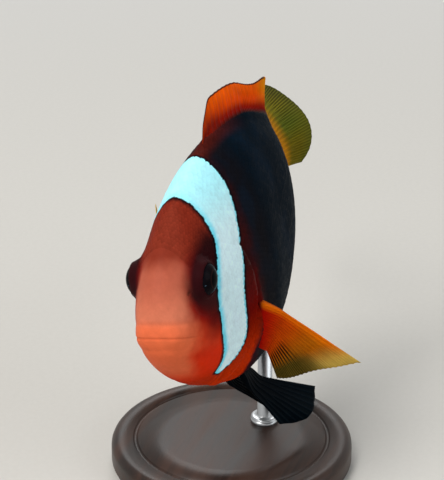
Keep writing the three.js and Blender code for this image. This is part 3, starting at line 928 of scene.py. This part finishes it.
SPINES, SOFT_RAYS, ANAL_RAYS, CAUDAL_RAYS, PECTORAL_RAYS, PELVIC_RAYS = 10, 17, 15, 17, 18, 5
DORSAL = {"start": 0.392, "end": 0.80, "low": 0.036, "high": 0.085, "sag": 0.014, "tip": 0.012,
          "split": 0.58, "sunk": 0.10}
DORSAL_SAG_AT, DORSAL_TIP_FROM = 0.68, 0.76
DORSAL_WAVE = (-0.018, 0.009)  # how far the edge stands to the left, in front and at the rear tip
DORSAL_LEAN = (54, 65)  # degrees, first ray and last
ANAL = {"start": 0.635, "end": 0.86, "low": 0.03, "high": 0.105, "grown": 0.45, "corner": 0.8, "round": 0.35}
ANAL_LEAN = (62, 42)
CAUDAL = {"start": 1.003, "length": 0.273, "low": -0.026, "high": 0.128, "spread": 10.5, "tilt": -4.0,
          "corner": 0.34, "skew": 0.10}
# First and last ray of each paired fin: root (at, y, z), direction (back, out,
# down) and length; then the bow of the margin and the taper of the lengths.
# A root without y lies on the flank.
PAIRED = {
    "pectoral_fin_left": ((0.322, None, -0.068), (0.34, 0.64, 0.69), 0.272,
                          (0.334, None, -0.180), (0.42, -0.02, 0.90), 0.125, 0.0, 0.8),
    "pectoral_fin_right": ((0.322, None, -0.068), (0.73, 0.27, -0.63), 0.240,
                           (0.334, None, -0.180), (0.98, 0.18, 0.10), 0.125, 0.012, 0.8),
    "pelvic_fin_left": ((0.358, 0.026, -0.286), (0.56, 0.12, 0.82), 0.215,
                        (0.398, 0.022, -0.291), (0.82, 0.34, 0.53), 0.245, 0.052, 1.0),
    "pelvic_fin_right": ((0.358, 0.022, -0.286), (0.66, -0.22, 0.72), 0.205,
                         (0.398, 0.018, -0.291), (0.78, -0.06, 0.62), 0.175, 0.010, 1.0),
}


def between_rays(q):
    """0 on each ray and 1 halfway to the next, where the margin dips most."""
    return np.abs(np.sin(q * math.pi))


def dorsal_middle(u, q):
    """Rays that lean back from the ridge; the margin climbs quickly, sags
    before the soft rays, ends in a high tip and dips between the rays. The
    spines fill the front part evenly, and the soft rays the rest."""
    v = np.where(q < SPINES, q / SPINES * DORSAL["split"],
                 DORSAL["split"] + (q - SPINES) / SOFT_RAYS * (1 - DORSAL["split"]))
    rise = lerp(DORSAL["low"] * ramp(v, -0.012, 0.038), DORSAL["high"], ramp(v, 0, 0.15))
    sag = DORSAL["sag"] * bell(v - DORSAL_SAG_AT, 0.17)
    tip = DORSAL["tip"] * ramp(v, DORSAL_TIP_FROM, 1)
    whole = rise - sag + tip - np.where(q < SPINES, 0.0009, 0.0012) * between_rays(q)
    length = u * (whole + DORSAL["sunk"] * (u < 0))
    at = lerp(DORSAL["start"], DORSAL["end"], v)
    lean = np.radians(lerp(*DORSAL_LEAN, v))
    wave = lerp(*DORSAL_WAVE, ramp(v, 0.5, 1)) * np.maximum(u, 0) ** 2 * whole / DORSAL["high"]
    return np.stack([at + np.cos(lean) * length, wave, back(at) - 0.002 + np.sin(lean) * length], -1)


def anal_middle(u, q):
    """Rays that hang back from the belly's rear, longest behind the middle."""
    v = q / ANAL_RAYS
    at = lerp(ANAL["start"], ANAL["end"], v)
    lean = np.radians(lerp(*ANAL_LEAN, v))
    rounded = 1 - ANAL["round"] * np.maximum((v - ANAL["corner"]) / (1 - ANAL["corner"]), 0) ** 2
    whole = lerp(ANAL["low"], ANAL["high"], smooth(v / ANAL["grown"])) * rounded
    length = u * (whole - np.where(q < 2, 0.0020, 0.0012) * between_rays(q))
    return np.stack([at + np.cos(lean) * length, 0 * at, belly(at) + 0.002 - np.sin(lean) * length], -1)


def caudal_middle(u, q):
    """Rays that fan out from the end of the body to a rounded edge."""
    v = q / CAUDAL_RAYS
    across = 2 * v - 1
    fan = np.radians(CAUDAL["tilt"] + CAUDAL["spread"] * across)
    share = 1 - CAUDAL["corner"] * np.abs(across) ** 3 + CAUDAL["skew"] * across
    length = u * (CAUDAL["length"] * share - 0.0016 * between_rays(q))
    return np.stack([CAUDAL["start"] + np.cos(fan) * length, 0 * length,
                     lerp(CAUDAL["low"], CAUDAL["high"], v) + np.sin(fan) * length], -1)


def paired_middle(name, side, rays):
    """A fan of rays whose root, direction and length pass evenly from the
    first ray to the last; close to the body it is drawn in to meet the skin."""
    root0, way0, length0, root1, way1, length1, bow, taper = PAIRED[name]
    way0, way1 = unit(np.array(way0)), unit(np.array(way1))

    def middle(u, q):
        v = q / rays
        across = np.clip(v, 0, 1)
        at, z = lerp(root0[0], root1[0], v), lerp(root0[2], root1[2], v)
        way = unit(lerp(way0, way1, v[..., None]))
        whole = lerp(length0, length1, across ** taper) + bow * np.sin(math.pi * across)
        length = u * (whole - 0.0022 * between_rays(q))
        close = ramp(u, 0.20, 0)
        if root0[1] is None:
            y = flank_at(at, z) + 0.0088 - 0.017 * close
        else:
            y = lerp(root0[1], root1[1], v)
            z = z + 0.016 * close
        return np.stack([at + way[..., 0] * length, side * (y + way[..., 1] * length),
                         z - way[..., 2] * length], -1)

    return middle


def soft_relief(thick, fork):
    """The relief of soft fin rays, 0 between them and 1 on them, where q counts
    the rays. Past the fork each ray parts into two that drift apart."""
    def relief(q, u):
        parted = smooth((u - fork) / 0.30)
        return bell(np.abs(q - np.round(q)) - 0.25 * parted, lerp(thick, thick * 0.55, parted))

    return relief


def dorsal_relief(q, u):
    """Stout single spines in front, branching soft rays behind."""
    spine = bell(q - np.round(q), lerp(0.16, 0.08, u))
    return np.where(q < SPINES + 0.5, spine, soft_relief(0.20, 0.40)(q, u))


MEMBRANE = 0.16  # thickness of the web, in millimetres
THIN_EDGE = 0.6  # share of the thickness lost at the very edge


def build_fin(name, middle, rays, columns, rows, material, nodes, relief,
              ray=0.55, root=1.5, sink=0.10, flow=0.0):
    """A closed fin: a middle surface from root to edge, made thick along its
    normal by a thin membrane, the rays' relief and a fleshy root (ray and
    root, in millimetres). sink is how far it starts inside the body, flow how
    far its edge waves to the side."""
    u, q = np.broadcast_arrays(np.linspace(-sink, 1, rows)[:, None], np.linspace(0, rays, columns)[None, :])
    eps = 1e-3
    normal = unit(np.cross(middle(u + eps, q) - middle(u - eps, q), middle(u, q + eps) - middle(u, q - eps)))
    reach = np.clip(u, 0, 1)
    wave = flow * reach ** 2 * np.sin(q / rays * 2 * math.pi * 1.4 + 0.8)
    centre = middle(u, q) + normal * wave[..., None]
    ridge = relief(q, reach) * smooth(reach / 0.28)
    flesh = root * ramp(u, -sink, 0.03) * ramp(u, 0.28, 0.03)
    edge = 1 - THIN_EDGE * ramp(reach, 0.985, 1)
    thick = (MEMBRANE + ray * ridge * (1 - 0.72 * reach) + flesh) * edge * MM / 2
    top, under = centre + normal * thick[..., None], centre - normal * thick[..., None]
    loop = np.concatenate([top, under[:, ::-1]], 1)
    n, m = loop.shape[:2]
    j = np.arange(columns - 1)
    root_cap = np.stack([j, j + 1, m - 2 - j, m - 1 - j], -1)
    edge_cap = root_cap[:, ::-1] + (n - 1) * m
    facts = np.stack([u, q / rays, ridge], -1)
    make_piece(name + "_rayed", pose(loop), np.concatenate([grid_quads(n, m, wrap=True), root_cap, edge_cap]),
               [], material, nodes, {"rest": loop, "fin": np.concatenate([facts, facts[:, ::-1]], 1)})


def fin_group():
    """What every fin shares: lighter rays on a darker membrane, streaks along
    the rays, and the height of their joints. Fin holds reach from root to
    edge, place across, and the rays' relief."""
    tree, entry, leave = new_group(
        "fin_rays", {"Fin": "Vector", "Rest": "Vector", "Ray Color": "Color", "Web Color": "Color"},
        {"Color": "Color", "Height": "Float"})
    reach, across, relief = parts_of(entry["Fin"])
    grain = noise(joined(reach * 2.0, across * 90.0), 1.0)
    cloud = noise(entry["Rest"], 26.0)
    joints = calc("SINE", reach * 260.0) * (relief * step(reach, 0.15, 0.35))
    colour = blend(step(relief, 0.10, 0.80), entry["Web Color"], entry["Ray Color"])
    shade = spread(grain, 0.3, 0.7, 0.86, 1.14) * spread(cloud, 0.3, 0.7, 0.88, 1.10)
    leave(Color=scaled(colour, shade), Height=joints * 0.3 + grain)
    return tree


FIN_RAYS = fin_group()


def fin_material(name, paint):
    """A moist fin; paint gives the colours of ray and web from the reach and
    the place across."""
    material, tree, shader = new_material(name, Specular_IOR_Level=0.015, Roughness=0.42)
    fin = attribute(tree, "fin")
    ray, web = paint(*parts_of(fin)[:2])
    rays = place_group(tree, FIN_RAYS, Fin=fin, Rest=attribute(tree, "rest"), Ray_Color=ray, Web_Color=web)
    set_inputs(shader, Base_Color=rays["Color"], Normal=bump(rays["Height"], 0.00004, 0.6))
    return material


def dorsal_paint(reach, across):
    """Dark red at the root through orange to a yellower rear tip, with a thin
    black edge along the margin."""
    colour = layers(
        blend(step(reach, 0.06, 0.26), "260706", "941404"),
        (step(reach, 0.22, 0.54), "ea4a02"),
        (step(across, 0.26, 0.04) * step(reach, 0.90, 0.35) * 0.75, "7c1606"),
        (step(reach, 0.45, 0.90), "f35c02"),
        (step(across, 0.12, 0.02) * 0.85, "6c1408"),
        (step(across, 0.62, 1.0) * step(reach, 0.2, 0.9) * 0.9, "e59404"),
        (step(reach, 0.945, 0.968) * step(across, 0.97, 0.90) * 0.92, "1a0a08"))
    return colour, scaled(colour, 0.95)


def caudal_paint(reach, across):
    """Olive yellow, darker and greener towards the middle, with an orange
    strip at the root and dark streaks between the rays, most of them low."""
    colour = layers(
        blend(step(across, 0.30, 0.75), "6a5e10", "746c12"),
        (hump(across, 0.50, 0.28), "565e16"),
        (step(reach, 0.70, 1.0), "5a5a18"),
        (step(reach + across * 0.10, 0.62, 0.40) * 0.9, "c07c0c"),
        (step(reach, 0.085, 0.015), "120d0c"))
    streak = blend(step(across, 0.40, 0.75), scaled(colour, 0.74), scaled(colour, 0.40))
    return colour, blend(step(reach, 0.48, 0.72), colour, streak)


def black_paint(reach, across):
    """Blue black, with the rays a shade lighter."""
    colour = blend(step(reach, 0.1, 1.0), "060c12", "041018")
    return colour, scaled(colour, 0.7)


def pectoral_paint(reach, across):
    """Red at the root through orange to a pale olive-yellow tip; the web
    between the lower rays is dark."""
    colour = layers(
        blend(step(reach, 0.05, 0.32), "ab0c02", "c04402"),
        (step(reach, 0.28, 0.62), "b05e06"), (step(reach, 0.66, 0.95), "c2a14a"),
        (step(across, 0.14, 0.0) * step(reach, 0.95, 0.6) * 0.8, "ea7204"))
    lower = step(across, 0.42, 0.60) * step(reach, 0.28, 0.46)
    outer = step(reach, 0.50, 0.80) * step(across, 0.20, 0.45)
    root = step(reach, 0.07, 0.03)
    web = layers(scaled(colour, 0.94), (lower, "2a1806"), (outer * 0.7, "3f3a14"), (root, "5a0c06"))
    return layers(colour, (outer * step(across, 0.2, 0.5), "5d4a12"), (root, "5a0c06")), web


def build_fins():
    orange = fin_material("orange_fin", dorsal_paint)
    olive = fin_material("olive_tail_fin", caudal_paint)
    black = fin_material("black_fin", black_paint)
    fan = fin_material("pectoral_fin", pectoral_paint)
    build_fin("dorsal_fin", dorsal_middle, SPINES + SOFT_RAYS, 325, 46, orange,
              ("dorsal_fin_spiny", "dorsal_fin_soft"), dorsal_relief, ray=0.32, root=1.0)
    build_fin("anal_fin", anal_middle, ANAL_RAYS, 211, 44, black, ("anal_fin",),
              soft_relief(0.20, 0.42), flow=0.005)
    build_fin("caudal_fin", caudal_middle, CAUDAL_RAYS, 290, 64, olive, ("caudal_fin",),
              soft_relief(0.20, 0.42), sink=0.09, root=1.7, flow=0.006)
    for kind, rays, columns, rows, paint, slot, relief, ray, root in (
            ("pectoral_fin", PECTORAL_RAYS, 253, 56, fan, "orange_fin", soft_relief(0.22, 0.50), 0.36, 1.6),
            ("pelvic_fin", PELVIC_RAYS, 121, 50, black, "black_fin", soft_relief(0.16, 0.30), 0.55, 1.1)):
        for name, side in ((kind + "_left", 1), (kind + "_right", -1)):
            build_fin(name, paired_middle(name, side, rays), rays, columns, rows, paint, (name,),
                      relief, ray, root, sink=0.04, flow=0.004 * side)


# ------------ eyes

EYE_RINGS, EYE_COLUMNS = 40, 64
BEHIND = 1.2  # the distance stored for the hidden half of the ball


def eye_material():
    """A dark iris with a thin coppery ring round the pupil, under a clear
    gloss, and a pale blue arc of painted reflection near the rear rim of the
    ball. The attribute eye holds the distance from the pupil's middle, in
    radii of the ball, and the turn round it."""
    material, tree, shader = new_material(
        "glossy_eye", Roughness=0.35, Specular_IOR_Level=0.01, Coat_Roughness=0.04, Coat_IOR=1.33)
    facing = outputs_of(tree, add_node(tree, "LayerWeight"))["Facing"]
    away, turn, _ = parts_of(attribute(tree, "eye"))
    rays = noise(joined(calc("SINE", turn) * 6.0, calc("COSINE", turn) * 6.0, away * 2.0), 2.2, 4.0, 0.6)
    # Painted reflection: a pale blue arc of light near the rear rim of the ball.
    painted_rim_reflection = hump(away, 0.86, 0.05) * hump(turn, -0.2, 1.1)
    colour = layers(
        blend(step(rays, 0.35, 0.70), "05060a", "120a0e"), (hump(away, 0.54, 0.07) * 0.28, "3c2018"),
        (step(away, 0.80, 0.93) * 0.8, "0a0a10"), (painted_rim_reflection * 0.9, "7fa6c4"),
        (step(away, 0.515, 0.48), "010204"))
    set_inputs(shader, Base_Color=colour, Coat_Weight=spread(facing, 0.80, 0.95, 0.06, 0.95))
    return material


def build_eye(name, side, material):
    """A flattened ball in rings round the pupil's axis: the radius follows the
    sine and the bulge the cosine of the angle from the pupil."""
    polar, turn = np.meshgrid(np.linspace(0.03, math.pi - 0.03, EYE_RINGS),
                              np.linspace(0, 2 * math.pi, EYE_COLUMNS, endpoint=False), indexing="ij")
    out = EYE["radius"] * np.sin(polar)
    rest = np.stack([EYE["at"] + out * np.cos(turn), side * (EYE["y"] + EYE["bulge"] * np.cos(polar)),
                     EYE["z"] + out * np.sin(turn)], -1)
    front, rear = ((EYE["at"], side * (EYE["y"] + bulge), EYE["z"])
                   for bulge in (EYE["bulge"], -EYE["bulge"]))
    away = np.where(polar < math.pi / 2, np.sin(polar), BEHIND)
    facts = np.stack([away, turn - math.pi * 2 * (turn > math.pi), 0 * polar], -1)
    points, quads, fans = closed_rings(rest, front, rear)
    make_piece(name + "_domed", pose(points), quads, fans, material, (name,),
               {"eye": closed_rings(facts, (0, 0, 0), (BEHIND, 0, 0))[0]})


# ------------ stand

# Radii of rounded edges and other small sizes, in metres.
FOOT_EDGE, TOP_EDGE, GROOVE = 0.0008, 0.0016, 0.0005
COLLAR_HEIGHT, COLLAR_EDGE, COLLAR_SUNK, WELD = 0.0014, 0.0005, 0.0004, 0.0002
ROD_INTO_BELLY = 0.0008
GROOVE_AT = 0.80  # share of the base's radius
COLLAR_WIDTH = 1.9  # times the rod's radius


def turned_piece(node, profile, centre, around, material):
    """A profile of (radius, height) turned about an upright axis through
    centre, closed by a fan at each end, in place of a node whose slot has the
    same name."""
    radius, height = np.array(profile).T[..., None]
    turn = np.linspace(0, 2 * math.pi, around, endpoint=False)
    rings = np.stack(np.broadcast_arrays(
        centre[0] + radius * np.cos(turn), centre[1] + radius * np.sin(turn), height), -1)
    points, quads, fans = closed_rings(rings, (*centre, profile[0][1]), (*centre, profile[-1][1]))
    make_piece(node + "_turned", points, quads, fans, material, (node,))


def fillet(centre, radius, start, end, count=7):
    """Points of an arc, from angle start to end in degrees."""
    angle = np.radians(np.linspace(start, end, count))
    return [(centre[0] + radius * math.cos(a), centre[1] + radius * math.sin(a)) for a in angle]


def wood_material():
    """Dark stained hardwood: long grain with pores under a satin lacquer."""
    material, tree, shader = new_material(
        "stained_wood", Specular_IOR_Level=0.25, Coat_Weight=0.12, Coat_Roughness=0.25)
    place = object_place(tree, 0.4, (60, 620, 620))
    rings, pores = noise(place, 0.35, 4.0, 0.6), noise(place, 2.6, 3.0, 0.7)
    colour = layers(blend(step(rings, 0.35, 0.65), "1d120d", "3a241a"),
                    (step(pores, 0.58, 0.72) * 0.6, "0f0907"))
    set_inputs(shader, Base_Color=colour, Roughness=spread(rings, 0.3, 0.7, 0.34, 0.50),
               Normal=bump(pores, 0.00005, 0.5))
    return material


def steel_material():
    """Brushed steel: fine rings of scratches round the rod."""
    material, tree, shader = new_material("brushed_steel", Metallic=1.0)
    brush = noise(object_place(tree, scale=(300, 300, 6000)), 1.0, 3.0, 0.7)
    set_inputs(shader, Base_Color=blend(brush, "a9acaf", "bcbec0"),
               Roughness=spread(brush, 0.3, 0.7, 0.28, 0.38), Normal=bump(brush, 0.000006, 0.3))
    return material


def build_stand():
    """A turned base with rounded edges and a cut ring, and a rod in a small
    collar, standing from the base into the belly."""
    low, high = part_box("stand_base")
    radius, top = (high.x - low.x) / 2, high.z
    ring = radius * GROOVE_AT
    profile = [(radius * 0.5, low.z), (radius - FOOT_EDGE, low.z)]
    profile += fillet((radius - FOOT_EDGE, low.z + FOOT_EDGE), FOOT_EDGE, -90, 0)
    profile += fillet((radius - TOP_EDGE, top - TOP_EDGE), TOP_EDGE, 0, 90)
    profile += fillet((ring, top), GROOVE, 0, -180)
    profile += [(ring * 0.7, top), (ring * 0.3, top)]
    turned_piece("stand_base", profile, (0.0, 0.0), 160, wood_material())

    foot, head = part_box("stand_rod")
    rod = (head.x - foot.x) / 2
    collar = rod * COLLAR_WIDTH
    below, tall, end = top - COLLAR_SUNK, top + COLLAR_HEIGHT, head.z + ROD_INTO_BELLY
    profile = [(collar * 0.5, below), (collar, below), (collar, tall - COLLAR_EDGE)]
    profile += fillet((collar - COLLAR_EDGE, tall - COLLAR_EDGE), COLLAR_EDGE, 0, 90)
    profile += [(rod + WELD, tall), (rod, tall + WELD), (rod, end), (rod * 0.5, end)]
    centre = ((foot.x + head.x) / 2, (foot.y + head.y) / 2)
    turned_piece("stand_rod", profile, centre, 48, steel_material())


# ------------ floor, light, camera

BACKDROP = "e4e4e2"
BACKDROP_STRENGTH = 0.90
SKY_STRENGTH = 0.30  # of the sky as it lights the model
FLOOR_SIZE = 3.0  # metres from the middle to each side
FLOOR_FADE = (0.12, 0.60)  # metres from the middle over which it turns to the backdrop


def build_floor():
    """A wide pale sheet that keeps the model's shadow near the base and takes
    the backdrop's colour far from it."""
    material, tree, shader = new_material("pale_floor", Roughness=0.75, Specular_IOR_Level=0.2)
    place = object_place(tree)
    set_inputs(shader, Base_Color=blend(noise(place, 900.0, 2.0), "c9c7c2", "cfcdc8"))
    length = add_node(tree, "VectorMath", "LENGTH")
    wire(place, length.inputs[0])
    far = step(outputs_of(tree, length)["Value"], *FLOOR_FADE) * seen_directly(tree)
    glow = add_node(tree, "Emission", Color=BACKDROP, Strength=BACKDROP_STRENGTH)
    mixed = add_node(tree, "MixShader")
    wire(far, mixed.inputs[0])
    for source, socket in ((shader, mixed.inputs[1]), (glow, mixed.inputs[2]),
                           (mixed, tree.nodes["Material Output"].inputs["Surface"])):
        tree.links.new(source.outputs[0], socket)
    mesh = bpy.data.meshes.new("floor")
    corners = [(x * FLOOR_SIZE, y * FLOOR_SIZE, 0) for x, y in ((-1, -1), (1, -1), (1, 1), (-1, 1))]
    mesh.from_pydata(corners, [], [(0, 1, 2, 3)])
    mesh.materials.append(material)
    floor = new_object("floor", mesh)
    floor.location.z = -0.0001


def direction(azimuth, elevation):
    """The way from the model to something round it, from two angles in
    degrees: azimuth runs from +X towards the fish's left."""
    a, e = math.radians(azimuth), math.radians(elevation)
    return Vector((math.cos(e) * math.cos(a), math.cos(e) * math.sin(a), math.sin(e)))


def add_lamp(name, azimuth, elevation, distance, size, watts, colour, aim):
    """A round soft lamp on a sphere round the model, facing it."""
    lamp = bpy.data.lights.new(name, "AREA")
    lamp.shape = "DISK"
    lamp.size, lamp.energy, lamp.color = size, watts, colour
    made = new_object(name, lamp)
    away = direction(azimuth, elevation)
    made.location = aim + away * distance
    made.rotation_mode = "QUATERNION"
    made.rotation_quaternion = (-away).to_track_quat("-Z", "Y")


def light_scene(aim):
    """A soft key from in front and above, to the fish's right, a weak fill,
    a rim light from behind and a dim even sky."""
    add_lamp("key_light", -25, 50, 0.9, 0.50, 7.2, (1.0, 0.98, 0.95), aim)
    add_lamp("fill_light", 85, 30, 1.0, 0.8, 3.0, (0.93, 0.97, 1.0), aim)
    add_lamp("rim_light", 200, 45, 1.0, 0.5, 3.2, (1.0, 1.0, 1.0), aim)
    world = bpy.data.worlds.new("studio")
    bpy.context.scene.world = world
    world.use_nodes = True
    strength = spread(seen_directly(world.node_tree), 0, 1, SKY_STRENGTH, BACKDROP_STRENGTH)
    set_inputs(world.node_tree.nodes["Background"], Color=BACKDROP, Strength=strength)


CAMERA_WAY = (18.57, 24.92)  # azimuth and elevation, in degrees
CAMERA_DISTANCE = 4.0  # standard lengths from the target
CAMERA_LENS = 136.8  # millimetres, on a sensor this wide:
SENSOR_WIDTH = 36.0
# The target is a point on the fish's middle line; the aim lies right of and
# above it, in standard lengths.
TARGET_STATION = 0.35
AIM_RIGHT, AIM_UP = 0.0241, 0.0537


def place_camera():
    """A level camera ahead of the fish, to its left and above it. Returns the
    target, which the lamps face too."""
    upright = Vector((0, 0, 1))
    away = direction(*CAMERA_WAY)
    right = upright.cross(away).normalized()
    target = Vector(((MIDDLE_STATION - TARGET_STATION) * SL, 0.0, SWIM_HEIGHT))
    location = target + away * CAMERA_DISTANCE * SL
    aim = target + (right * AIM_RIGHT + away.cross(right) * AIM_UP) * SL
    camera = bpy.data.cameras.new("camera")
    camera.lens, camera.sensor_width, camera.clip_start = CAMERA_LENS, SENSOR_WIDTH, 0.01
    made = new_object("camera", camera)
    back_axis = (location - aim).normalized()
    across = upright.cross(back_axis).normalized()
    turn = Matrix((across, back_axis.cross(across), back_axis)).transposed()
    made.matrix_world = Matrix.Translation(location) @ turn.to_4x4()
    bpy.context.scene.camera = made
    return target


# ------------ assembly

build_skin()
build_coat()
build_fins()
eye_gloss = eye_material()
build_eye("eye_left", 1, eye_gloss)
build_eye("eye_right", -1, eye_gloss)
build_stand()
build_floor()
light_scene(place_camera())
bpy.context.scene.view_settings.view_transform = "Standard"
